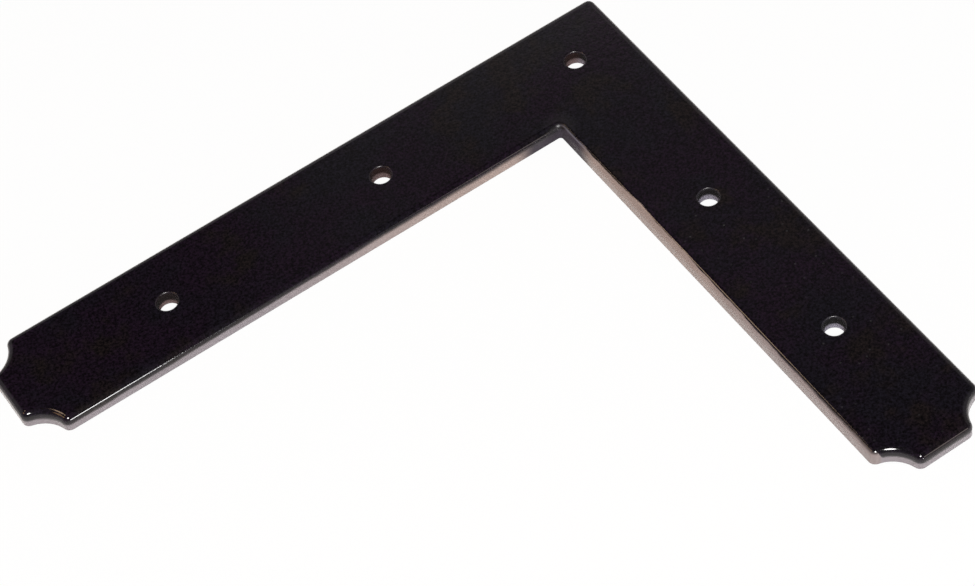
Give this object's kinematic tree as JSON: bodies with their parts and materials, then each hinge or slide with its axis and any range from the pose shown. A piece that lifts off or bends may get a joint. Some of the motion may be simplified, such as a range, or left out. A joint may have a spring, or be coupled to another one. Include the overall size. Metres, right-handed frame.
{
  "type": "reinforcing plate",
  "caption": "Flat L-shaped steel corner plate with arms of unequal length, scalloped ends, a rolled top edge and plain screw holes, used to stiffen a corner joint.",
  "frame": {"origin": "on the axis of the corner screw hole, at the flat back face", "axes": "+X along the long arm, +Y along the short arm, +Z out of the finished face with the rolled edge"},
  "size_m": [0.206, 0.185, 0.005],
  "materials": {
    "paint": "gloss black paint over steel"
  },
  "bodies": {
    "root": {"plate": "paint"}
  },
  "joints": []
}
